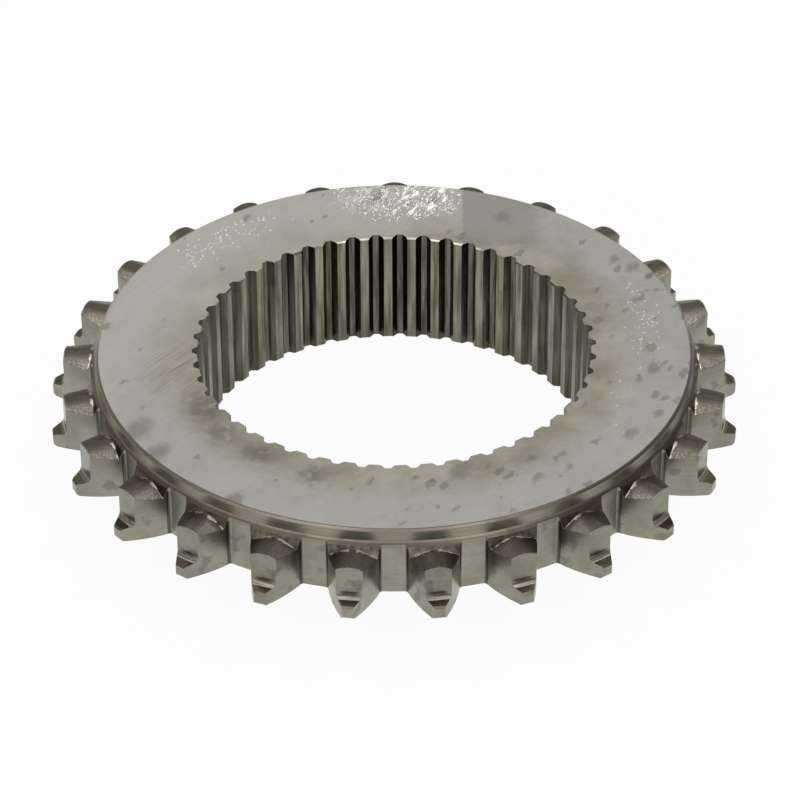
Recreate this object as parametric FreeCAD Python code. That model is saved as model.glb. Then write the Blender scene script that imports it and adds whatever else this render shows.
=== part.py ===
import FreeCAD, Part
import math
import os

# Toothed retaining ring: one machined steel piece.  A flat ground flange stands on a band of coarse
# external gear teeth, and the bore carries a fine internal spline through its whole length.
# Millimetres, +Z up, the ring's axis on Z.  The origin is on the axis, on the underside of the hub.
# The front of the ring, -Y, is the middle of a gap between two external teeth.

# Heights
OVERALL_HEIGHT = 25.0          # underside of the hub to the flat top face
BAND_HEIGHT = 14.1             # underside of the external teeth to the flat top face
SHOULDER_DEPTH = 3.9           # flat top face down to the crest of the teeth

# External teeth: involute form
TOOTH_COUNT = 25
MODULE = 5.08                  # pitch diameter divided by the tooth count
PRESSURE_ANGLE = 26.0          # degrees, at the pitch circle
TOOTH_THICKNESS = 7.5          # along the pitch circle
ADDENDUM = 5.08                # pitch circle to the tip of the lip
DEDENDUM = 3.8                 # pitch circle to the floor of a gap
ROOT_FILLET = 0.7              # where a flank meets the floor
TIP_CHAMFER = 0.5              # lower edge of the tips
FLANK_POINTS = 5               # points of the involute that a flank is laid through

# The seat cut round the teeth: above the lip the tips are turned down to a land
LAND_DEPTH = 2.55              # how far the land lies inside the lip
LIP_HEIGHT = 2.75              # underside of the teeth to the corner of the lip
LEDGE_SLOPE = 16.0             # degrees, the seat rises inward from the lip
LIP_CHAMFER = 0.4              # upper edge of the lip
LAND_FILLET = 1.1

# Roof-shaped tooth ends: two flat slopes that fall from a rounded crest along the middle of a tooth
ROOF_SLOPE = 21.0              # degrees, each slope below the level
CREST_RADIUS = 5.2
COLLAR_WIDTH = 1.1             # uncut part of each tooth end, out from the flange wall
COLLAR_SLOPE = 25.0            # degrees, the face of the collar from the vertical

# Flange
FLANGE_RADIUS = 59.2
FLANGE_FOOT = 1.4              # 45 degree slope between the flange wall and the tooth crests
FACE_CHAMFER = 0.4             # outer edge of the top face

# Hub under the teeth
HUB_RADIUS = 46.0
HUB_CHAMFER = 0.8              # lower edge of the hub

# Internal spline
SPLINE_COUNT = 50
SPLINE_TIP_RADIUS = 38.75
SPLINE_DEPTH = 1.3
SPLINE_SPACE = 2.15            # width of a groove half-way down its depth
SPLINE_FLANK_ANGLE = 37.5      # degrees, between a flank and the middle of its groove
SPLINE_TURN = -1.65            # degrees, from the middle of the front gap to the nearest groove
BORE_CHAMFER = 0.3

# How far a cutter reaches past the face it leaves by
CLEAR = 1.0

# Two points closer than this are one point
SAME_POINT = 1e-6

Z_AXIS = FreeCAD.Vector(0, 0, 1)
CENTRE = FreeCAD.Vector(0, 0, 0)
FRONT = -90.0                  # degrees, the direction of -Y

band_bottom = OVERALL_HEIGHT - BAND_HEIGHT
crest = OVERALL_HEIGHT - SHOULDER_DEPTH
pitch_radius = MODULE * TOOTH_COUNT / 2.0
tip_radius = pitch_radius + ADDENDUM
root_radius = pitch_radius - DEDENDUM
base_radius = pitch_radius * math.cos(math.radians(PRESSURE_ANGLE))
land_radius = tip_radius - LAND_DEPTH
collar_radius = FLANGE_RADIUS + COLLAR_WIDTH
groove_radius = SPLINE_TIP_RADIUS + SPLINE_DEPTH
cutter_bottom = band_bottom - CLEAR


def polar(radius, angle, z=0.0):
    """A point at a radius and an angle in radians."""
    return FreeCAD.Vector(radius * math.cos(angle), radius * math.sin(angle), z)


def rounded_wire(corners):
    """A closed wire through (point, radius) corners, each corner rounded to its radius."""
    edges = []
    starts = []
    ends = []
    count = len(corners)
    for index in range(count):
        point, radius = corners[index]
        if radius == 0:
            starts.append(point)
            ends.append(point)
            continue
        before = corners[index - 1][0].sub(point).normalize()
        after = corners[(index + 1) % count][0].sub(point).normalize()
        half = before.getAngle(after) / 2.0
        reach = radius / math.tan(half)
        inward = before.add(after).normalize()
        first = point + before * reach
        last = point + after * reach
        middle = point + inward * (radius / math.sin(half) - radius)
        edges.append(Part.Arc(first, middle, last).toShape())
        starts.append(first)
        ends.append(last)
    for index in range(count):
        here = ends[index]
        there = starts[(index + 1) % count]
        if here.distanceToPoint(there) > SAME_POINT:
            edges.append(Part.makeLine(here, there))
    return Part.Wire(Part.__sortEdges__(edges))


def section_point(radius, z):
    """A corner of the section that is turned about the axis."""
    return FreeCAD.Vector(radius, 0, z)


def turned_blank():
    """The ring before any tooth is cut: its section turned about the axis."""
    seat_slope = math.tan(math.radians(LEDGE_SLOPE))
    seat_rise = LAND_DEPTH * seat_slope
    lip_chamfer_rise = LIP_CHAMFER * seat_slope
    lip_corner = band_bottom + LIP_HEIGHT
    corners = [
        (section_point(SPLINE_TIP_RADIUS, BORE_CHAMFER), 0),
        (section_point(SPLINE_TIP_RADIUS, OVERALL_HEIGHT - BORE_CHAMFER), 0),
        (section_point(SPLINE_TIP_RADIUS + BORE_CHAMFER, OVERALL_HEIGHT), 0),
        (section_point(FLANGE_RADIUS - FACE_CHAMFER, OVERALL_HEIGHT), 0),
        (section_point(FLANGE_RADIUS, OVERALL_HEIGHT - FACE_CHAMFER), 0),
        (section_point(FLANGE_RADIUS, crest + FLANGE_FOOT), 0),
        (section_point(FLANGE_RADIUS + FLANGE_FOOT, crest), 0),
        (section_point(land_radius, crest), 0),
        (section_point(land_radius, lip_corner + seat_rise), LAND_FILLET),
        (section_point(tip_radius - LIP_CHAMFER, lip_corner + lip_chamfer_rise), 0),
        (section_point(tip_radius, lip_corner - LIP_CHAMFER / 2.0), 0),
        (section_point(tip_radius, band_bottom + TIP_CHAMFER), 0),
        (section_point(tip_radius - TIP_CHAMFER, band_bottom), 0),
        (section_point(HUB_RADIUS, band_bottom), 0),
        (section_point(HUB_RADIUS, HUB_CHAMFER), 0),
        (section_point(HUB_RADIUS - HUB_CHAMFER, 0), 0),
        (section_point(SPLINE_TIP_RADIUS + BORE_CHAMFER, 0), 0),
    ]
    face = Part.Face(rounded_wire(corners))
    return face.revolve(CENTRE, Z_AXIS, 360)


def involute(angle):
    return math.tan(angle) - angle


def half_tooth_angle(radius):
    """Half the angle that a tooth spans at a radius, in radians."""
    at_pitch = TOOTH_THICKNESS / 2.0 / pitch_radius
    slope = math.acos(base_radius / radius)
    return at_pitch + involute(math.radians(PRESSURE_ANGLE)) - involute(slope)


def root_corner(side):
    """One root fillet of the front gap: its ends on the floor and on the flank, and its middle.

    The centre of the fillet lies on a normal of the involute, which is a tangent of the base
    circle, so both ends follow from right-angled triangles on that circle.
    """
    centre_radius = root_radius + ROOT_FILLET
    roll = math.sqrt(centre_radius ** 2 - base_radius ** 2) - ROOT_FILLET
    flank_radius = math.hypot(base_radius, roll)
    half_gap = math.pi / TOOTH_COUNT - half_tooth_angle(flank_radius)
    lean = math.acos(base_radius / centre_radius) - math.acos(base_radius / flank_radius)
    on_flank = polar(flank_radius, math.radians(FRONT) + side * half_gap, cutter_bottom)
    centre = polar(centre_radius, math.radians(FRONT) + side * (half_gap - lean), cutter_bottom)
    on_floor = polar(root_radius, math.radians(FRONT) + side * (half_gap - lean), cutter_bottom)
    outward = (on_flank - centre).normalize() + (on_floor - centre).normalize()
    middle = centre + outward.normalize() * ROOT_FILLET
    return on_floor, middle, on_flank, flank_radius


def flank_curve(side, inner_radius, outer_radius):
    """One involute flank of the front gap, between two radii."""
    points = []
    for step in range(FLANK_POINTS):
        radius = inner_radius + (outer_radius - inner_radius) * step / (FLANK_POINTS - 1.0)
        half_gap = math.pi / TOOTH_COUNT - half_tooth_angle(radius)
        points.append(polar(radius, math.radians(FRONT) + side * half_gap, cutter_bottom))
    curve = Part.BSplineCurve()
    curve.interpolate(points)
    return curve, points[-1]


def gap_cutter():
    """What a cutter removes between two external teeth at the front."""
    outer = tip_radius + CLEAR
    edges = []
    floor_ends = []
    mouth_ends = []
    for side in (-1, 1):
        on_floor, middle, on_flank, flank_radius = root_corner(side)
        flank, mouth_end = flank_curve(side, flank_radius, outer)
        edges.append(Part.Arc(on_floor, middle, on_flank).toShape())
        edges.append(flank.toShape())
        floor_ends.append(on_floor)
        mouth_ends.append(mouth_end)
    floor_middle = polar(root_radius, math.radians(FRONT), cutter_bottom)
    edges.append(Part.Arc(floor_ends[0], floor_middle, floor_ends[1]).toShape())
    edges.append(Part.makeLine(mouth_ends[0], mouth_ends[1]))
    wire = Part.Wire(Part.__sortEdges__(edges))
    return Part.Face(wire).extrude(FreeCAD.Vector(0, 0, BAND_HEIGHT + CLEAR))


def tooth_end_corner(across, z):
    """A corner of the cutter that shapes a tooth end, where it starts inside the flange wall."""
    return FreeCAD.Vector(FLANGE_RADIUS - CLEAR, across, z)


def roof_cutter():
    """What points the end of the tooth along +X: all that lies over its roof."""
    slope = math.radians(ROOF_SLOPE)
    half_crest = CREST_RADIUS * math.sin(slope)
    crest_drop = CREST_RADIUS - CREST_RADIUS * math.cos(slope)
    half_width = math.pi * collar_radius / TOOTH_COUNT
    eaves_drop = crest_drop + (half_width - half_crest) * math.tan(slope)
    left_eaves = tooth_end_corner(-half_width, crest - eaves_drop)
    left = tooth_end_corner(-half_crest, crest - crest_drop)
    right = tooth_end_corner(half_crest, crest - crest_drop)
    right_eaves = tooth_end_corner(half_width, crest - eaves_drop)
    right_top = tooth_end_corner(half_width, crest + FLANGE_FOOT)
    left_top = tooth_end_corner(-half_width, crest + FLANGE_FOOT)
    wire = Part.Wire([
        Part.makeLine(left_eaves, left),
        Part.Arc(left, tooth_end_corner(0, crest), right).toShape(),
        Part.makeLine(right, right_eaves),
        Part.makeLine(right_eaves, right_top),
        Part.makeLine(right_top, left_top),
        Part.makeLine(left_top, left_eaves),
    ])
    reach = tip_radius + CLEAR - (FLANGE_RADIUS - CLEAR)
    over_roof = Part.Face(wire).extrude(FreeCAD.Vector(reach, 0, 0))
    lean = math.tan(math.radians(COLLAR_SLOPE))
    collar = Part.makeCone(
        collar_radius + BAND_HEIGHT * lean, collar_radius - BAND_HEIGHT * lean, 2 * BAND_HEIGHT,
        FreeCAD.Vector(0, 0, crest - BAND_HEIGHT),
    )
    return over_roof.cut(collar)


def spline_cutter():
    """One straight-sided groove of the bore, at the front."""
    slope = math.tan(math.radians(SPLINE_FLANK_ANGLE))
    half_floor = SPLINE_SPACE / 2.0 - SPLINE_DEPTH / 2.0 * slope
    half_mouth = SPLINE_SPACE / 2.0 + (SPLINE_DEPTH / 2.0 + CLEAR) * slope
    floor_x = math.sqrt(groove_radius ** 2 - half_floor ** 2)
    mouth_x = floor_x - SPLINE_DEPTH - CLEAR
    low = -CLEAR
    first = FreeCAD.Vector(mouth_x, -half_mouth, low)
    second = FreeCAD.Vector(floor_x, -half_floor, low)
    middle = FreeCAD.Vector(groove_radius, 0, low)
    third = FreeCAD.Vector(floor_x, half_floor, low)
    fourth = FreeCAD.Vector(mouth_x, half_mouth, low)
    wire = Part.Wire([
        Part.makeLine(first, second),
        Part.Arc(second, middle, third).toShape(),
        Part.makeLine(third, fourth),
        Part.makeLine(fourth, first),
    ])
    solid = Part.Face(wire).extrude(FreeCAD.Vector(0, 0, OVERALL_HEIGHT + 2 * CLEAR))
    solid.rotate(CENTRE, Z_AXIS, FRONT + SPLINE_TURN)
    return solid


def ring_of(shape, count, first_turn):
    """Copies of a shape at even turns about the axis."""
    copies = []
    for index in range(count):
        turned = shape.copy()
        turned.rotate(CENTRE, Z_AXIS, first_turn + 360.0 * index / count)
        copies.append(turned)
    return copies


def toothed_ring():
    ring = turned_blank()
    ring = ring.cut(ring_of(gap_cutter(), TOOTH_COUNT, 0))
    first_tooth = FRONT + 180.0 / TOOTH_COUNT
    ring = ring.cut(ring_of(roof_cutter(), TOOTH_COUNT, first_tooth))
    ring = ring.cut(ring_of(spline_cutter(), SPLINE_COUNT, 0))
    return ring.Solids[0]


os.makedirs("parts", exist_ok=True)
toothed_ring().exportStep("parts/toothed_ring.step")
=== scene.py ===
import math

import bpy
from mathutils import Matrix, Vector


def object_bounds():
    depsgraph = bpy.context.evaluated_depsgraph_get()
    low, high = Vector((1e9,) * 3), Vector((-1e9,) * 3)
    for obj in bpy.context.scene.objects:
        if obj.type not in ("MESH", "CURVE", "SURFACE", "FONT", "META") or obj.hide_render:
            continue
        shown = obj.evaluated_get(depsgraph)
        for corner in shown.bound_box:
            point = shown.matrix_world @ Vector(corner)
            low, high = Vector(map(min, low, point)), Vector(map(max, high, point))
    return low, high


# A used steel gear ring with an internal spline, lying on a white floor under soft studio light.
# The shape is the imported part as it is.  This script gives it its finish, the light and the camera.
# Lengths are metres.  Directions round the ring are azimuths in degrees, 0 at the front (-Y) and
# rising towards +X.

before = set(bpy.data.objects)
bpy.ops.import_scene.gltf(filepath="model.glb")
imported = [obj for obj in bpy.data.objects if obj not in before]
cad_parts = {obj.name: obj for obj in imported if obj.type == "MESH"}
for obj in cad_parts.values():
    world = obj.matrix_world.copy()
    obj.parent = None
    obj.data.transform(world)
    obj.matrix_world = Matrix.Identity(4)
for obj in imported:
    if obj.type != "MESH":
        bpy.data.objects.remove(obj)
cad_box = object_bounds()
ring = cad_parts["toothed_ring"]

MM = 0.001
DEGREE = math.radians(1)

# The ring's own landmarks
TOP_Z = cad_box[1][2]
BAND_Z = TOP_Z - 14.1 * MM     # underside of the toothed band
CREST_Z = TOP_Z - 3.9 * MM     # crest of the tooth ends
LEDGE_Z = BAND_Z + 2.75 * MM   # ledge over the lip of each tooth
FLANGE_RADIUS = 59.2 * MM
FACE_RIM = FLANGE_RADIUS - 0.4 * MM    # where the ground face ends at its chamfer
ROOT_RADIUS = 59.7 * MM
COLLAR_RADIUS = 60.3 * MM
COLLAR_SLOPE = math.tan(25 * DEGREE)   # how far the collar runs out for each metre that it falls
LAND_RADIUS = 66.03 * MM
TIP_RADIUS = 68.58 * MM
RIDGE_RADIUS = 38.75 * MM
GROOVE_RADIUS = 40.05 * MM
TEETH = 25

# Camera, fitted to the photo's circles and teeth
PHOTO_PIXELS = 800
FOCAL_PIXELS = 3807.6
CAMERA_ELEVATION = 36.143
CAMERA_AZIMUTH = 0.206
CAMERA_ROLL = -0.216
CAMERA_DISTANCE = 0.763
AIM_X = 394.28                 # where the middle of the band's underside falls in the picture
AIM_Y = 403.88
SENSOR_WIDTH = 36.0            # millimetres, as the lens is

# Light
LAMP_DISTANCE = 1.2
SKY_COLOUR = (1.0, 0.965, 0.87, 1.0)
SKY_STRENGTH = 0.26
FLOOR_SIZE = 6.0
FLOOR_Z = -0.1 * MM            # just clear of the hub's face
FLOOR_COLOUR = (0.9, 0.9, 0.89, 1)
FLOOR_WHITENESS = 0.95         # the rest of what is seen takes the shadow

# Marks on the ground face, in millimetres: x, y and size, placed from the photo
STAINS = (
    (-49.2, -27.5, 3.0), (-45.2, -35.2, 2.7), (-30.0, -50.0, 2.1), (12.6, -40.6, 2.5), (26.2, -37.0, 1.1),
    (32.0, -35.5, 1.0), (33.4, -39.6, 1.1), (27.2, -43.0, 1.3), (38.6, -31.4, 0.9), (45.6, -28.8, 1.6),
    (51.2, -22.6, 1.2), (54.0, -26.0, 0.9), (50.8, -16.2, 0.9), (51.3, -7.4, 1.8), (47.9, -11.0, 1.0),
    (53.4, -5.6, 0.9), (36.6, -19.6, 1.0), (46.4, 12.4, 0.9), (49.4, 17.0, 1.4), (53.2, 19.6, 0.9),
    (48.6, 28.0, 1.5), (45.0, 30.8, 1.2), (52.0, 25.0, 0.8), (56.6, 14.2, 0.8), (40.8, 9.0, 1.0),
    (-57.4, 7.0, 1.2), (-53.0, -12.2, 0.7), (-50.2, -1.0, 0.6), (-14.4, 47.0, 0.6), (-17.2, 45.0, 0.5),
    (-3.2, 54.4, 1.5), (22.4, 46.4, 1.8), (-30.6, 46.4, 1.0), (-37.4, -36.2, 0.7), (-22.4, -43.8, 0.5),
    (7.4, -43.8, 0.5), (8.2, -52.2, 0.6), (-8.0, -46.5, 0.4), (20.0, -49.0, 0.4), (-35.0, 27.6, 0.6))
SMUDGES = ((-36.5, -20.0, 4.2), (-32.5, -28.5, 3.2), (-25.5, -35.5, 2.8), (-15.0, -42.0, 2.6))
BROWN_STREAKS = (-42.5, -8.0, 5.0)
# Where the painted glints are strewn: x, y and size
BACK_SPARKLE = (1.0, 54.0, 14.0)
LEFT_SPARKLE = (-36.0, 40.0, 13.0)
RIGHT_SPARKLE = (49.5, 8.0, 4.0)
LOW_SPARKLE = (44.0, -22.0, 3.0)
STAIN_ANGLE = 62.0             # degrees from +X, the way the stains and the bright flecks lean
STAIN_STRETCH = (1.3, 0.8)     # along the lean and across it, as for all stretches
SPECK_STRETCH = (1.5, 0.75)
FLECK_STRETCH = (1.7, 0.7)
FLECK_SCALES = (1250.0, 2000.0)
GRIND_ANGLE = 50.0             # degrees from +X, the way the grinding marks run
GRIND_STRETCH = (14.0, 0.7)
SCRATCH_STRETCH = (24.0, 0.9)
TURNED_STRETCH = 0.0006        # metres of noise for each radian along a turned mark

# Colours of the steel, linear red, green and blue, a dark and a light one where there are two
FACE_INNER = ((0.48, 0.452, 0.365), (0.72, 0.70, 0.605))
FACE_OUTER = ((0.64, 0.64, 0.605), (0.785, 0.783, 0.742))
FACE_HAZE = (0.36, 0.35, 0.30)
FACE_BACK_REFLECTION = (0.93, 0.92, 0.875)
GRIND_SHADE = (0.25, 0.24, 0.21)
SCRATCH_BROWN = (0.25, 0.185, 0.125)
SCRATCH_HAZE = (0.30, 0.23, 0.16)
STAIN_GREY = (0.30, 0.295, 0.27)
SPECK_GREY = (0.24, 0.22, 0.18)
REGION_GREY = (0.34, 0.335, 0.305)
SMUDGE_GREY = (0.255, 0.24, 0.205)
PAINTED_GLINT = (0.97, 0.97, 0.95)
RIM_SHADE = (0.10, 0.095, 0.08)

TOOTH = ((0.215, 0.212, 0.165), (0.345, 0.338, 0.272))
TOOL_MARK = (0.11, 0.105, 0.085)
TOOTH_SPOT = (0.10, 0.105, 0.095)
FLANK_SHADE = (0.07, 0.062, 0.042)
LAND_SHADE = (0.10, 0.09, 0.06)
SEAT_SHADE = (0.045, 0.036, 0.024)
CORNER_SHADE = (0.03, 0.03, 0.022)
FLANGE = ((0.185, 0.178, 0.134), (0.355, 0.342, 0.268))
FOOT = ((0.24, 0.205, 0.155), (0.50, 0.44, 0.355))
FOOT_LOWER = (0.09, 0.08, 0.06)
FOOT_RIGHT_SHADE = (0.07, 0.064, 0.044)
ROOF = ((0.105, 0.096, 0.077), (0.27, 0.248, 0.20))
ROOF_PAINTED_LIGHT = (0.47, 0.43, 0.355)
ROOF_PAINTED_SHADE = (0.05, 0.042, 0.032)
ROOF_GLINT = (0.62, 0.55, 0.46)
BURR_HIGHLIGHT = (0.95, 0.90, 0.82)
ROOF_EDGE_HIGHLIGHT = (0.75, 0.71, 0.64)
WEDGE_SHADE = ((0.115, 0.102, 0.076), (0.27, 0.24, 0.188))
WEDGE_SIDE_SHADE = (0.06, 0.045, 0.03)
LEDGE = ((0.055, 0.043, 0.031), (0.13, 0.11, 0.086))
LEDGE_PAINTED_SHADE = (0.02, 0.018, 0.014)
LEDGE_PAINTED_LIGHT = (0.26, 0.25, 0.19)
FILLET_HIGHLIGHT = (0.50, 0.45, 0.385)
LIP_BROWN = (0.24, 0.175, 0.12)

BORE_RIM = ((0.30, 0.27, 0.20), (0.95, 0.84, 0.68))
RIDGE = ((0.11, 0.103, 0.068), (0.285, 0.275, 0.21))
RIDGE_SIDE_SHADE = (0.07, 0.07, 0.052)
RIDGE_LOW = (0.09, 0.08, 0.055)
RIDGE_WEAR_AND_HIGHLIGHT = (0.62, 0.60, 0.52)
GROOVE_FLOOR = ((0.06, 0.056, 0.04), (0.155, 0.148, 0.115))
GROOVE_WALL_SHADE = (0.02, 0.02, 0.014)

# Relief of the surface
EDGE_ROUNDING = 0.18 * MM      # only in the shading
EDGE_SAMPLES = 6
RELIEF_STRENGTH = 0.25
RELIEF_DEPTH = 0.05 * MM


def around(azimuth, elevation=0.0):
    """Unit vector towards an azimuth and an elevation, both in degrees."""
    a = math.radians(azimuth)
    e = math.radians(elevation)
    return Vector((math.sin(a) * math.cos(e), -math.cos(a) * math.cos(e), math.sin(e)))


def add_camera():
    camera = bpy.data.objects.new("camera", bpy.data.cameras.new("camera"))
    bpy.context.collection.objects.link(camera)
    lens = camera.data
    lens.sensor_width = SENSOR_WIDTH
    lens.lens = lens.sensor_width * FOCAL_PIXELS / PHOTO_PIXELS
    lens.shift_x = (PHOTO_PIXELS / 2 - AIM_X) / PHOTO_PIXELS
    lens.shift_y = (AIM_Y - PHOTO_PIXELS / 2) / PHOTO_PIXELS
    lens.clip_start = 0.01
    lens.clip_end = 20.0
    aim = Vector((0, 0, BAND_Z))
    turn = Matrix.Rotation(math.radians(CAMERA_AZIMUTH), 4, "Z")
    tilt = Matrix.Rotation(math.radians(90 - CAMERA_ELEVATION), 4, "X")
    roll = Matrix.Rotation(math.radians(CAMERA_ROLL), 4, "Z")
    place = Matrix.Translation(aim + around(CAMERA_AZIMUTH, CAMERA_ELEVATION) * CAMERA_DISTANCE)
    camera.matrix_world = place @ turn @ tilt @ roll
    bpy.context.scene.camera = camera


def softbox(name, azimuth, elevation, width, height, brightness):
    """A rectangular area light that faces the ring.  Brightness is its radiance, 1 being white."""
    light = bpy.data.lights.new(name, "AREA")
    light.shape = "RECTANGLE"
    light.size = width
    light.size_y = height
    light.energy = brightness * math.pi * width * height
    lamp = bpy.data.objects.new(name, light)
    bpy.context.collection.objects.link(lamp)
    away = around(azimuth, elevation)
    lamp.location = Vector((0, 0, BAND_Z)) + away * LAMP_DISTANCE
    lamp.rotation_euler = away.to_track_quat("Z", "Y").to_euler()


def add_lights():
    softbox("ceiling", 180, 88, 1.0, 0.62, 1.25)
    softbox("front_left", -35, 51, 0.42, 0.42, 2.0)
    softbox("front_right", 35, 51, 0.42, 0.42, 2.0)
    softbox("back_left", -130, 60, 0.32, 0.24, 3.6)
    softbox("back_right", 130, 60, 0.32, 0.24, 3.6)
    softbox("front_card", 0, 15, 0.5, 0.3, 1.5)
    softbox("left_card", -50, 18, 0.5, 0.5, 1.0)
    softbox("back_strip", 180, 32.5, 0.5, 0.05, 3.1)


def add_world():
    world = bpy.data.worlds.new("studio")
    bpy.context.scene.world = world
    world.use_nodes = True
    sky = world.node_tree.nodes["Background"]
    sky.inputs["Color"].default_value = SKY_COLOUR
    sky.inputs["Strength"].default_value = SKY_STRENGTH


class Graph:
    """Short ways to add shader nodes to a material."""

    def __init__(self, material):
        self.tree = material.node_tree
        self.tree.nodes.clear()

    def node(self, kind, **values):
        made = self.tree.nodes.new(kind)
        for name, value in values.items():
            setattr(made, name, value)
        return made

    def put(self, value, socket):
        """Give a socket a value, or link it to the socket that makes the value."""
        if isinstance(value, bpy.types.NodeSocket):
            self.tree.links.new(value, socket)
        else:
            socket.default_value = value

    def math(self, operation, a, b=0.0):
        made = self.node("ShaderNodeMath", operation=operation)
        self.put(a, made.inputs[0])
        self.put(b, made.inputs[1])
        return made.outputs[0]

    def times(self, *factors):
        product = factors[0]
        for factor in factors[1:]:
            product = self.math("MULTIPLY", product, factor)
        return product

    def union(self, *masks):
        whole = masks[0]
        for mask in masks[1:]:
            whole = self.math("MAXIMUM", whole, mask)
        return whole

    def less(self, value):
        """1 minus a value."""
        return self.math("SUBTRACT", 1.0, value)

    def between(self, value, low, high, out_low=0.0, out_high=1.0):
        """A smooth step of value from low to high."""
        made = self.node("ShaderNodeMapRange", interpolation_type="SMOOTHSTEP")
        for name, number in (("Value", value), ("From Min", low), ("From Max", high),
                             ("To Min", out_low), ("To Max", out_high)):
            self.put(number, made.inputs[name])
        return made.outputs["Result"]

    def band(self, value, low, high, soft):
        """1 where value lies between low and high, falling to 0 over soft."""
        rise = self.between(value, low - soft, low + soft)
        fall = self.between(value, high - soft, high + soft, 1.0, 0.0)
        return self.times(rise, fall)

    def mix(self, amount, a, b):
        """One colour changed into another by an amount from 0 to 1."""
        made = self.node("ShaderNodeMix", data_type="RGBA")
        self.put(amount, made.inputs[0])
        self.put(a, made.inputs[6])
        self.put(b, made.inputs[7])
        return made.outputs[2]

    def blend(self, amount, a, b):
        """One number changed into another by an amount from 0 to 1."""
        made = self.node("ShaderNodeMix", data_type="FLOAT")
        self.put(amount, made.inputs[0])
        self.put(a, made.inputs[2])
        self.put(b, made.inputs[3])
        return made.outputs[0]

    def ramp(self, amount, pair):
        """A colour between the dark and the light one of a pair."""
        dark, light = pair
        return self.mix(amount, (*dark, 1), (*light, 1))

    def tint(self, mask, strength, colour, over):
        """A colour laid over another one through a mask."""
        return self.mix(self.times(mask, strength), over, (*colour, 1))

    def noise(self, place, scale, detail=3.0, roughness=0.55):
        made = self.node("ShaderNodeTexNoise")
        self.put(place, made.inputs["Vector"])
        made.inputs["Scale"].default_value = scale
        made.inputs["Detail"].default_value = detail
        made.inputs["Roughness"].default_value = roughness
        return made.outputs["Fac"]

    def vector(self, x, y, z):
        made = self.node("ShaderNodeCombineXYZ")
        for socket, value in zip(made.inputs, (x, y, z)):
            self.put(value, socket)
        return made.outputs[0]

    def turned(self, place, angle, stretch=(1.0, 1.0)):
        """The place turned about Z by an angle in degrees, so that what is drawn there is turned
        as much, and is stretched along its new X and Y."""
        made = self.node("ShaderNodeMapping", vector_type="TEXTURE")
        made.inputs["Rotation"].default_value = (0, 0, math.radians(angle))
        made.inputs["Scale"].default_value = (*stretch, 1)
        self.put(place, made.inputs["Vector"])
        return made.outputs[0]

    def spot(self, x, y, centre_x, centre_y, size, soft, tall=1.0):
        """1 inside an oval spot, falling to 0 at its rim.  Centre, size and soft are millimetres."""
        across = self.math("SUBTRACT", x, centre_x * MM)
        along = self.times(self.math("SUBTRACT", y, centre_y * MM), 1.0 / tall)
        square = self.math("ADD", self.times(across, across), self.times(along, along))
        distance = self.math("SQRT", square)
        return self.between(distance, (size - soft) * MM, (size + soft) * MM, 1.0, 0.0)

    def blot(self, place, angle, stretch, centre_x, centre_y, size):
        """1 inside a soft stain of a size in millimetres.  Place has been turned and stretched by
        `turned`, and the centre, also in millimetres, has not."""
        a = math.radians(angle)
        turned_x = centre_x * math.cos(a) + centre_y * math.sin(a)
        turned_y = centre_y * math.cos(a) - centre_x * math.sin(a)
        made = self.node("ShaderNodeVectorMath", operation="DISTANCE")
        self.put(place, made.inputs[0])
        made.inputs[1].default_value = (turned_x * MM / stretch[0], turned_y * MM / stretch[1], 0)
        return self.between(made.outputs["Value"], size * 0.4 * MM, size * 1.45 * MM, 1.0, 0.0)

    def scatter(self, place, scale, share):
        """Small spots strewn over the plane, one in each cell for a share of the cells."""
        cells = self.node("ShaderNodeTexVoronoi", feature="F1")
        cells.inputs["Scale"].default_value = scale
        self.put(place, cells.inputs["Vector"])
        lot = self.node("ShaderNodeSeparateColor")
        self.put(cells.outputs["Color"], lot.inputs[0])
        chosen = self.between(self.math("SUBTRACT", share, lot.outputs[0]), 0.0, 0.2)
        size = self.times(chosen, self.between(lot.outputs[1], 0.0, 1.0, 0.20, 0.42))
        return self.between(self.math("SUBTRACT", size, cells.outputs["Distance"]), -0.06, 0.10)


class Place:
    """Where a point of the ring's surface lies and how it faces, for the masks of the finish."""

    def __init__(self, g):
        self.point = g.node("ShaderNodeTexCoord").outputs["Object"]
        split = g.node("ShaderNodeSeparateXYZ")
        g.put(self.point, split.inputs[0])
        self.x, self.y, self.z = split.outputs
        square = g.math("ADD", g.times(self.x, self.x), g.times(self.y, self.y))
        self.radius = g.math("SQRT", square)

        # Radians round the axis from the front, with and without their sign
        self.azimuth = g.math("ARCTAN2", self.x, g.times(self.y, -1.0))
        self.off_front = g.math("ABSOLUTE", self.azimuth)

        # How far the surface faces up, away from the axis and to the front
        self.normal = g.node("ShaderNodeNewGeometry").outputs["Normal"]
        parts = g.node("ShaderNodeSeparateXYZ")
        g.put(self.normal, parts.inputs[0])
        normal_x, normal_y, self.up = parts.outputs
        self.level = g.math("ABSOLUTE", self.up)
        out = g.math("ADD", g.times(normal_x, self.x), g.times(normal_y, self.y))
        self.out = g.math("DIVIDE", out, self.radius)
        self.to_front = g.times(normal_y, -1.0)

        # Turned marks run round the axis: the noise is slow along the azimuth and quick across it
        self.turning = g.vector(self.radius, g.times(self.azimuth, TURNED_STRETCH), self.z)

        # Distance along the ring from the middle of the nearest tooth: with its sign, without it,
        # and positive on the side turned away from the front
        pitch = 2 * math.pi / TEETH
        phase = g.math("FRACT", g.math("DIVIDE", self.azimuth, pitch))
        self.across = g.times(g.math("SUBTRACT", phase, 0.5), pitch, self.radius)
        self.off_middle = g.math("ABSOLUTE", self.across)
        self.away = g.times(self.across, g.math("SIGN", self.azimuth))


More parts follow.
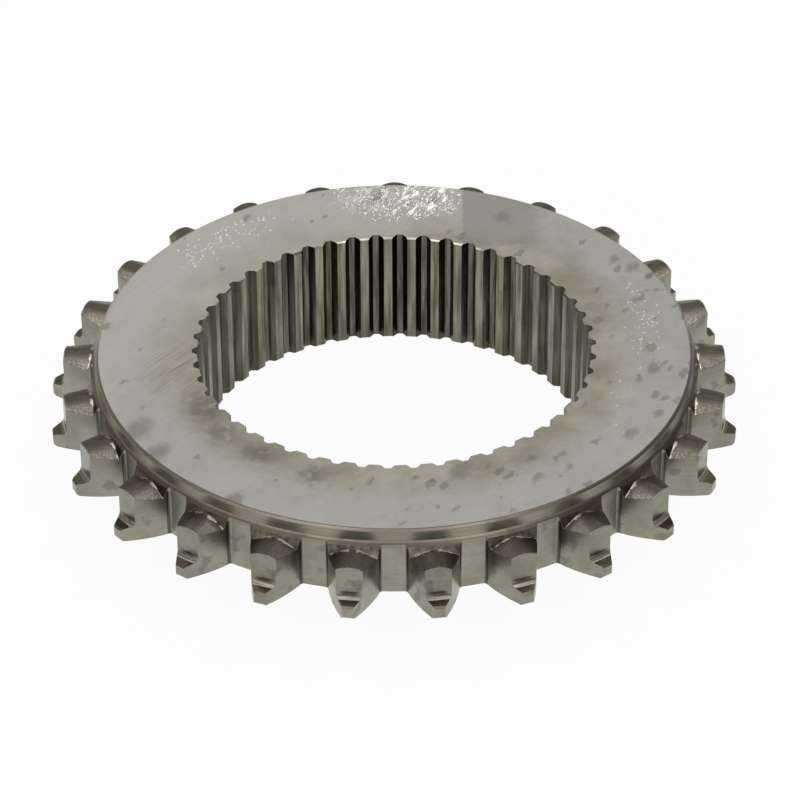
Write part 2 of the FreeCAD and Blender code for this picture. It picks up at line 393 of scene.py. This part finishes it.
def face_steel(g, at):
    """The clean ground face: clouded, olive towards the bore and lighter towards the back left, where a
    reflection is painted.
    """
    cloud = g.noise(at.point, 75.0, 4.0, 0.6)
    haze = g.noise(at.point, 260.0, 3.0, 0.6)
    outer = g.between(g.math("ADD", at.radius, g.times(cloud, 6 * MM)), 45 * MM, 55 * MM)
    inner_colour = g.ramp(g.between(cloud, 0.3, 0.7), FACE_INNER)
    colour = g.mix(outer, inner_colour, g.ramp(cloud, FACE_OUTER))
    colour = g.tint(g.between(haze, 0.45, 0.75), 0.16, FACE_HAZE, colour)
    # Painted reflection: the face is lightened towards the back left
    to_back = g.between(g.math("SUBTRACT", at.y, g.times(at.x, 0.8)), 0.0, 60 * MM)
    return g.tint(to_back, 0.45, FACE_BACK_REFLECTION, colour)


def brown_scratches(g, at, x, y, colour):
    """Scratches beside the bore at the left, in a brown haze."""
    scratches = g.noise(g.turned(at.point, GRIND_ANGLE, SCRATCH_STRETCH), 2000.0, 2.0)
    scratches = g.times(g.between(scratches, 0.46, 0.66), g.spot(x, y, *BROWN_STREAKS, 7.0))
    colour = g.tint(scratches, 0.62, SCRATCH_BROWN, colour)
    return g.tint(g.spot(x, y, *BROWN_STREAKS, 8.0), 0.16, SCRATCH_HAZE, colour)


def painted_glint_flecks(g, at, x, y, allowed):
    """Painted glints, as a mask of light flecks: many at the back, some at the left and the right."""
    patches = g.noise(g.turned(at.point, STAIN_ANGLE, (2.0, 0.8)), 420.0, 2.0, 0.5)
    patches = g.times(g.between(patches, 0.34, 0.62, 0.30, 1.0), allowed)
    back = g.times(g.spot(x, y, *BACK_SPARKLE, 5.0, 0.55), g.between(x, -11 * MM, 10 * MM, 1.0, 1.8))
    left = g.times(g.spot(x, y, *LEFT_SPARKLE, 8.0, 0.9), g.band(at.radius, 49 * MM, 56 * MM, 3 * MM))
    right = g.spot(x, y, *RIGHT_SPARKLE, 3.0, 3.2)
    low = g.spot(x, y, *LOW_SPARKLE, 2.0, 4.0)
    everywhere = g.union(back, g.times(left, 1.5), g.times(right, 0.85), g.times(low, 0.6))
    coarse, fine = FLECK_SCALES
    place = g.turned(at.point, STAIN_ANGLE, FLECK_STRETCH)
    flecks = g.union(g.scatter(place, coarse, g.times(back, patches)),
                     g.scatter(place, fine, g.times(everywhere, patches)))
    glare = g.noise(g.turned(at.point, STAIN_ANGLE, (2.4, 0.8)), 700.0, 3.0)
    glare = g.times(back, allowed, g.between(glare, 0.47, 0.63))
    return g.union(g.times(flecks, 0.9), g.times(glare, 0.62))


def ground_face(g, at):
    """Colour, roughness and height of the flat top face: ground, stained and a little bruised."""
    # Places bent by noise, so that the marks get uneven outlines
    warp = g.noise(at.point, 480.0, 2.5, 0.5)
    other_warp = g.noise(g.turned(at.point, 90.0), 560.0, 2.5, 0.5)
    x = g.math("ADD", at.x, g.times(g.math("SUBTRACT", warp, 0.5), 4.5 * MM))
    y = g.math("ADD", at.y, g.times(g.math("SUBTRACT", other_warp, 0.5), 6.0 * MM))
    bent = g.vector(g.blend(0.55, at.x, x), g.blend(0.55, at.y, y), 0.0)

    # Grinding marks run across the face in one direction
    colour = face_steel(g, at)
    marks = g.noise(g.turned(at.point, GRIND_ANGLE, GRIND_STRETCH), 1500.0, 2.0, 0.6)
    colour = g.tint(g.between(marks, 0.4, 0.7), 0.06, GRIND_SHADE, colour)
    colour = brown_scratches(g, at, x, y, colour)

    # Grey stains, oval and soft, and small dark specks that are fewer at the left
    leaning = g.turned(bent, STAIN_ANGLE, STAIN_STRETCH)
    stains = g.union(*[g.blot(leaning, STAIN_ANGLE, STAIN_STRETCH, *mark) for mark in STAINS])
    stains = g.times(stains, g.between(warp, 0.2, 0.45, 0.55, 1.0))
    colour = g.tint(stains, 0.56, STAIN_GREY, colour)
    share = g.between(at.x, -25 * MM, 20 * MM, 0.13, 0.32)
    specks = g.scatter(g.turned(bent, STAIN_ANGLE, SPECK_STRETCH), 330.0, share)
    colour = g.tint(specks, 0.45, SPECK_GREY, colour)

    # A darker region at the back right, and oily smudges by the bore at the left
    region = g.times(g.between(at.x, 13.8 * MM, 14.6 * MM), g.between(x, 27 * MM, 33 * MM, 1.0, 0.0),
                     g.between(y, 34 * MM, 38 * MM))
    colour = g.tint(region, 0.42, REGION_GREY, colour)
    smudge = g.union(*[g.spot(x, y, *mark, 2.2) for mark in SMUDGES])
    colour = g.tint(g.times(smudge, g.between(warp, 0.30, 0.54)), 0.60, SMUDGE_GREY, colour)

    # Painted glints: light flecks in the colour, none of them in the darker region
    sparkle = painted_glint_flecks(g, at, x, y, g.less(region))
    colour = g.tint(sparkle, 0.9, PAINTED_GLINT, colour)

    # Painted shade: the rim is a little darker just before the chamfer, mostly at the front
    rim = g.times(g.between(at.radius, FACE_RIM - 0.32 * MM, FACE_RIM - 0.18 * MM),
                  g.between(at.y, -10 * MM, 15 * MM, 1.0, 0.15))
    colour = g.tint(rim, 0.85, RIM_SHADE, colour)

    roughness = g.blend(sparkle, g.blend(stains, 0.50, 0.44), 0.20)
    height = g.math("ADD", g.times(marks, 0.15), g.times(g.noise(at.point, 2400.0), 0.2))
    return colour, roughness, height


def tooth_sides(g, at, cloud, spotted, level_marks):
    """Greenish grey flanks and lands, darker in patches, with faint level tool marks."""
    colour = g.ramp(g.between(cloud, 0.25, 0.75), TOOTH)
    colour = g.tint(g.between(level_marks, 0.45, 0.75), 0.22, TOOL_MARK, colour)
    colour = g.tint(spotted, 0.42, TOOTH_SPOT, colour)
    upright = g.between(at.level, 0.1, 0.3, 1.0, 0.0)

    # Flanks: brown and darker under the roof, a painted shade
    high = g.between(at.z, CREST_Z - 6.0 * MM, CREST_Z - 1.0 * MM)
    flank = g.times(g.between(at.out, 0.35, 0.6, 1.0, 0.0), upright, high)
    colour = g.tint(g.times(flank, g.between(cloud, 0.3, 0.6)), 0.50, FLANK_SHADE, colour)

    # Lands: a little browner above the seat
    land = g.times(g.band(at.radius, LAND_RADIUS - 0.15 * MM, LAND_RADIUS + 0.3 * MM, 0.05 * MM),
                   g.between(at.out, 0.8, 0.9), g.between(at.z, LEDGE_Z, LEDGE_Z + 0.5 * MM))
    colour = g.tint(land, 0.20, LAND_SHADE, colour)

    # Painted shade: a short dark band across the land just over the seat
    shade = g.times(g.band(at.z, LEDGE_Z + 1.05 * MM, LEDGE_Z + 1.95 * MM, 0.16 * MM),
                    g.between(at.radius, LAND_RADIUS - 0.1 * MM, LAND_RADIUS),
                    g.between(at.out, 0.6, 0.7), g.between(at.off_middle, 0.9 * MM, 2.3 * MM, 1.0, 0.0))
    colour = g.tint(shade, 0.72, SEAT_SHADE, colour)

    # Root corners: a thin dark line of painted shade where each flank meets the floor of its gap
    corner = g.band(at.radius, ROOT_RADIUS + 0.08 * MM, ROOT_RADIUS + 0.70 * MM, 0.10 * MM)
    below = g.between(at.z, CREST_Z - 0.1 * MM, CREST_Z + 0.1 * MM, 1.0, 0.0)
    return g.tint(g.times(corner, below, upright), 0.72, CORNER_SHADE, colour)


def flange_mask(g, at):
    """1 on the turned flange: its wall, its sloping foot and its chamfer."""
    turned = g.band(at.radius, FLANGE_RADIUS - 0.6 * MM, COLLAR_RADIUS + 0.4 * MM, 0.05 * MM)
    return g.times(turned, g.between(at.z, CREST_Z - 0.05 * MM, CREST_Z + 0.05 * MM))


def flange(g, at, turned, lines, colour):
    """Fine lines round the axis, and a lighter foot that darkens downwards, and to the right with painted
    shade.
    """
    colour = g.mix(turned, colour, g.ramp(lines, FLANGE))
    foot = g.times(turned, g.band(at.level, 0.55, 0.85, 0.05))
    foot_colour = g.ramp(lines, FOOT)
    lower = g.between(at.radius, FLANGE_RADIUS + 0.12 * MM, FLANGE_RADIUS + 0.40 * MM)
    foot_colour = g.tint(lower, 0.62, FOOT_LOWER, foot_colour)
    # Painted shade darkens the foot to the right of the front
    right = g.between(at.azimuth, 22 * DEGREE, 45 * DEGREE)
    foot_colour = g.tint(right, 0.55, FOOT_RIGHT_SHADE, foot_colour)
    return g.mix(foot, colour, foot_colour)


def roof_mask(g, at):
    """1 on the roofs, the sloping upper ends of the teeth."""
    end = g.band(at.z, CREST_Z - 2.5 * MM, CREST_Z + 0.2 * MM, 0.1 * MM)
    beyond = g.between(at.radius, COLLAR_RADIUS - 0.1 * MM, COLLAR_RADIUS + 0.2 * MM)
    return g.times(end, beyond, g.between(at.up, 0.7, 0.8))


def roofs(g, at, roof, mottle, colour):
    """Brownish roofs, with painted light, shade and glints, and a bright painted highlight along the
    ragged burr at their inner edge.
    """
    grain = g.noise(g.vector(at.across, g.times(at.radius, 0.6), at.azimuth), 1300.0, 4.0, 0.7)
    roof_colour = g.ramp(g.between(grain, 0.3, 0.7), ROOF)

    # Painted light and shade: the side turned away from the front is painted dark on the front teeth and
    # light on the others
    away = g.between(at.away, 1.2 * MM, 3.6 * MM)
    beside = g.between(at.off_front, 26 * DEGREE, 44 * DEGREE)
    roof_colour = g.tint(g.times(away, beside), 0.42, ROOF_PAINTED_LIGHT, roof_colour)
    roof_colour = g.tint(g.times(away, g.less(beside)), 0.75, ROOF_PAINTED_SHADE, roof_colour)

    # Painted glints on the side turned to the front, on all but the front teeth
    glint = g.times(g.between(at.away, -3.6 * MM, -1.2 * MM, 1.0, 0.0),
                    g.between(at.off_front, 38 * DEGREE, 50 * DEGREE),
                    g.between(g.noise(at.point, 2600.0, 1.0), 0.42, 0.62))
    roof_colour = g.tint(glint, 0.40, ROOF_GLINT, roof_colour)
    colour = g.mix(roof, colour, roof_colour)

    # The painted highlight along the burr follows the collar, wider at the crest, which it leaves free
    fall = g.times(g.math("SUBTRACT", CREST_Z, at.z), COLLAR_SLOPE)
    inside = g.math("SUBTRACT", at.radius, g.math("ADD", fall, COLLAR_RADIUS))
    width = g.between(at.off_middle, 1.6 * MM, 2.8 * MM, 0.75 * MM, 0.26 * MM)
    ragged = g.math("SUBTRACT", width, g.times(g.between(mottle, 0.62, 0.38), 0.45 * MM))
    burr_highlight = g.times(roof, g.between(g.math("SUBTRACT", inside, ragged), 0.0, 0.10 * MM, 1.0, 0.0),
                   g.between(at.off_middle, 0.4 * MM, 1.0 * MM))
    colour = g.tint(burr_highlight, 0.95, BURR_HIGHLIGHT, colour)

    # A painted highlight: a light line where the roof meets the land
    edge_highlight = g.times(roof, g.between(at.radius, LAND_RADIUS - 0.22 * MM, LAND_RADIUS - 0.12 * MM))
    return g.tint(edge_highlight, 0.45, ROOF_EDGE_HIGHLIGHT, colour)


def wedges(g, at, mottle, colour):
    """The collar between the foot of the flange and each roof, dark with painted shade, darker at the
    sides.
    """
    wedge = g.times(g.band(at.radius, COLLAR_RADIUS - 0.4 * MM, COLLAR_RADIUS + 1.0 * MM, 0.05 * MM),
                    g.band(at.z, CREST_Z - 2.5 * MM, CREST_Z + 0.6 * MM, 0.05 * MM),
                    g.band(at.up, 0.3, 0.55, 0.04))
    colour = g.mix(wedge, colour, g.ramp(g.between(mottle, 0.35, 0.65), WEDGE_SHADE))
    # Painted shade, deeper on the teeth to the sides of the front
    sideways = g.between(at.off_front, 12 * DEGREE, 45 * DEGREE, 0.0, 0.85)
    return g.tint(wedge, sideways, WEDGE_SIDE_SHADE, colour)


def seats(g, at, mottle, colour):
    """A dark ledge over each lip, a painted highlight on the fillet over it and a brown line along the
    lip's edge.
    """
    ledge = g.times(g.band(at.z, LEDGE_Z - 0.3 * MM, LEDGE_Z + 1.6 * MM, 0.05 * MM),
                    g.between(at.radius, LAND_RADIUS, LAND_RADIUS + 0.3 * MM),
                    g.between(at.up, 0.93, 0.955))
    ledge_colour = g.ramp(mottle, LEDGE)

    # Painted shade and light: the ledges are painted darkest at both sides of the front ones, and lighter
    # beyond
    dim = g.band(at.off_front, 30 * DEGREE, 57 * DEGREE, 3 * DEGREE)
    ledge_colour = g.tint(dim, 0.70, LEDGE_PAINTED_SHADE, ledge_colour)
    beside = g.between(at.off_front, 57 * DEGREE, 65 * DEGREE)
    ledge_colour = g.tint(beside, 0.75, LEDGE_PAINTED_LIGHT, ledge_colour)
    colour = g.mix(ledge, colour, ledge_colour)

    # A painted highlight on the fillet
    fillet = g.times(g.band(at.radius, LAND_RADIUS + 0.15 * MM, LAND_RADIUS + 1.0 * MM, 0.1 * MM),
                     g.band(at.up, 0.45, 0.93, 0.04), g.between(at.z, LEDGE_Z, LEDGE_Z + 0.2 * MM))
    colour = g.tint(fillet, 0.75, FILLET_HIGHLIGHT, colour)
    lip = g.times(g.band(at.z, LEDGE_Z - 0.35 * MM, LEDGE_Z + 0.15 * MM, 0.05 * MM),
                  g.band(at.up, 0.4, 0.93, 0.03),
                  g.between(at.radius, TIP_RADIUS - 0.58 * MM, TIP_RADIUS - 0.43 * MM))
    return g.tint(lip, 0.6, LIP_BROWN, colour)


def bore(g, at, cloud, wear_and_highlight, colour):
    """Olive ridges with upright streaks, dark groove floors, groove walls painted nearly black with
    shade, and painted shade on ridges turned sideways.
    """
    inside = g.times(g.between(at.radius, GROOVE_RADIUS, GROOVE_RADIUS + 0.2 * MM, 1.0, 0.0),
                     g.between(at.level, 0.3, 0.5, 1.0, 0.0))
    streak = g.noise(g.vector(at.x, at.y, g.times(at.z, 0.07)), 1000.0, 3.0)
    ridge_colour = g.ramp(g.between(streak, 0.3, 0.7), RIDGE)
    # Painted shade on the ridges where they face sideways
    beside = g.between(at.to_front, 0.1, 0.7, 0.75, 0.0)
    ridge_colour = g.tint(beside, 1.0, RIDGE_SIDE_SHADE, ridge_colour)
    low = g.between(at.z, 1.0 * MM, 8.0 * MM, 1.0, 0.0)
    ridge_colour = g.tint(low, 0.45, RIDGE_LOW, ridge_colour)
    # The ridge edges are lightened, as wear and as a painted highlight
    ridge_colour = g.tint(wear_and_highlight, 0.3, RIDGE_WEAR_AND_HIGHLIGHT, ridge_colour)

    deep = g.between(at.radius, GROOVE_RADIUS - 0.35 * MM, GROOVE_RADIUS - 0.15 * MM)
    bore_colour = g.mix(deep, ridge_colour, g.ramp(g.between(streak, 0.35, 0.65), GROOVE_FLOOR))
    # Painted shade: the groove walls nearly black, a little less where they face the front
    wall = g.times(g.between(g.math("ABSOLUTE", at.out), 0.72, 0.86, 1.0, 0.0),
                   g.between(at.to_front, 0.63, 0.85, 0.92, 0.62))
    bore_colour = g.tint(wall, 1.0, GROOVE_WALL_SHADE, bore_colour)
    colour = g.mix(inside, colour, bore_colour)

    # A bright ragged line on the chamfer at the top of the ridges
    rim = g.times(g.band(at.radius, RIDGE_RADIUS - 0.15 * MM, RIDGE_RADIUS + 0.65 * MM, 0.05 * MM),
                  g.between(at.z, TOP_Z - 0.4 * MM, TOP_Z - 0.3 * MM), g.band(at.up, 0.4, 0.9, 0.03))
    return g.mix(rim, colour, g.ramp(g.between(cloud, 0.42, 0.60), BORE_RIM))


def machined_sides(g, at, wear_and_highlight):
    """Colour, roughness and height of everything but the top face.  The edge mask, for wear and a painted
    highlight, is 1 along an edge.
    """
    cloud = g.noise(at.point, 130.0, 4.0, 0.6)
    spotted = g.between(g.noise(at.point, 260.0, 2.5, 0.5), 0.58, 0.68)
    mottle = g.noise(at.point, 800.0, 4.0, 0.65)
    lines = g.noise(at.turning, 2600.0, 2.0, 0.6)
    level_marks = g.noise(g.vector(g.times(at.x, 0.06), g.times(at.y, 0.06), at.z), 1900.0, 3.0, 0.6)
    turned = flange_mask(g, at)
    roof = roof_mask(g, at)

    colour = tooth_sides(g, at, cloud, spotted, level_marks)
    colour = flange(g, at, turned, lines, colour)
    colour = roofs(g, at, roof, mottle, colour)
    colour = wedges(g, at, mottle, colour)
    colour = seats(g, at, mottle, colour)
    colour = bore(g, at, cloud, wear_and_highlight, colour)

    roughness = g.math("ADD", g.between(cloud, 0.3, 0.7, 0.24, 0.33), g.times(spotted, 0.1))
    roughness = g.math("ADD", roughness, g.math("ADD", g.times(turned, 0.10), g.times(roof, 0.12)))
    height = g.math("ADD", g.times(level_marks, 0.25), g.times(lines, turned, 0.5))
    height = g.math("ADD", height, g.times(mottle, roof, 0.55))
    return colour, roughness, height


def steel():
    material = bpy.data.materials.new("worn_steel")
    material.use_nodes = True
    g = Graph(material)
    at = Place(g)
    on_top = g.times(g.between(at.z, TOP_Z - 0.2 * MM, TOP_Z - 0.1 * MM), g.between(at.up, 0.8, 0.9))

    # The rounded edges also give a mask along them, for wear and a painted highlight
    edge = g.node("ShaderNodeBevel", samples=EDGE_SAMPLES)
    edge.inputs["Radius"].default_value = EDGE_ROUNDING
    turn = g.node("ShaderNodeVectorMath", operation="DOT_PRODUCT")
    g.put(edge.outputs[0], turn.inputs[0])
    g.put(at.normal, turn.inputs[1])
    wear_and_highlight = g.between(turn.outputs["Value"], 0.90, 0.99, 1.0, 0.0)

    top_colour, top_roughness, top_height = ground_face(g, at)
    side_colour, side_roughness, side_height = machined_sides(g, at, wear_and_highlight)

    relief = g.node("ShaderNodeBump")
    relief.inputs["Strength"].default_value = RELIEF_STRENGTH
    relief.inputs["Distance"].default_value = RELIEF_DEPTH
    g.put(g.blend(on_top, side_height, top_height), relief.inputs["Height"])
    g.put(edge.outputs[0], relief.inputs["Normal"])

    shader = g.node("ShaderNodeBsdfPrincipled")
    shader.inputs["Metallic"].default_value = 1.0
    g.put(g.mix(on_top, side_colour, top_colour), shader.inputs["Base Color"])
    g.put(g.blend(on_top, side_roughness, top_roughness), shader.inputs["Roughness"])
    g.put(relief.outputs[0], shader.inputs["Normal"])
    g.put(shader.outputs[0], g.node("ShaderNodeOutputMaterial").inputs[0])
    return material


def white_floor():
    """White wherever it is seen or mirrored, yet it takes a faint shadow from the ring."""
    material = bpy.data.materials.new("white_floor")
    material.use_nodes = True
    g = Graph(material)
    rays = g.node("ShaderNodeLightPath")
    seen = g.union(rays.outputs["Is Camera Ray"], rays.outputs["Is Glossy Ray"],
                   rays.outputs["Is Transmission Ray"])
    diffuse = g.node("ShaderNodeBsdfDiffuse")
    diffuse.inputs["Color"].default_value = FLOOR_COLOUR
    white = g.node("ShaderNodeEmission")
    white.inputs["Color"].default_value = (1, 1, 1, 1)
    white.inputs["Strength"].default_value = 1.0
    mixed = g.node("ShaderNodeMixShader")
    g.put(g.times(seen, FLOOR_WHITENESS), mixed.inputs[0])
    g.put(diffuse.outputs[0], mixed.inputs[1])
    g.put(white.outputs[0], mixed.inputs[2])
    g.put(mixed.outputs[0], g.node("ShaderNodeOutputMaterial").inputs[0])
    return material


def add_floor():
    bpy.ops.mesh.primitive_plane_add(size=FLOOR_SIZE, location=(0, 0, FLOOR_Z))
    floor = bpy.context.object
    floor.name = "floor"
    floor.data.materials.append(white_floor())


bpy.context.scene.view_settings.view_transform = "Standard"
ring.data.materials.clear()
ring.data.materials.append(steel())
add_floor()
add_lights()
add_world()
add_camera()
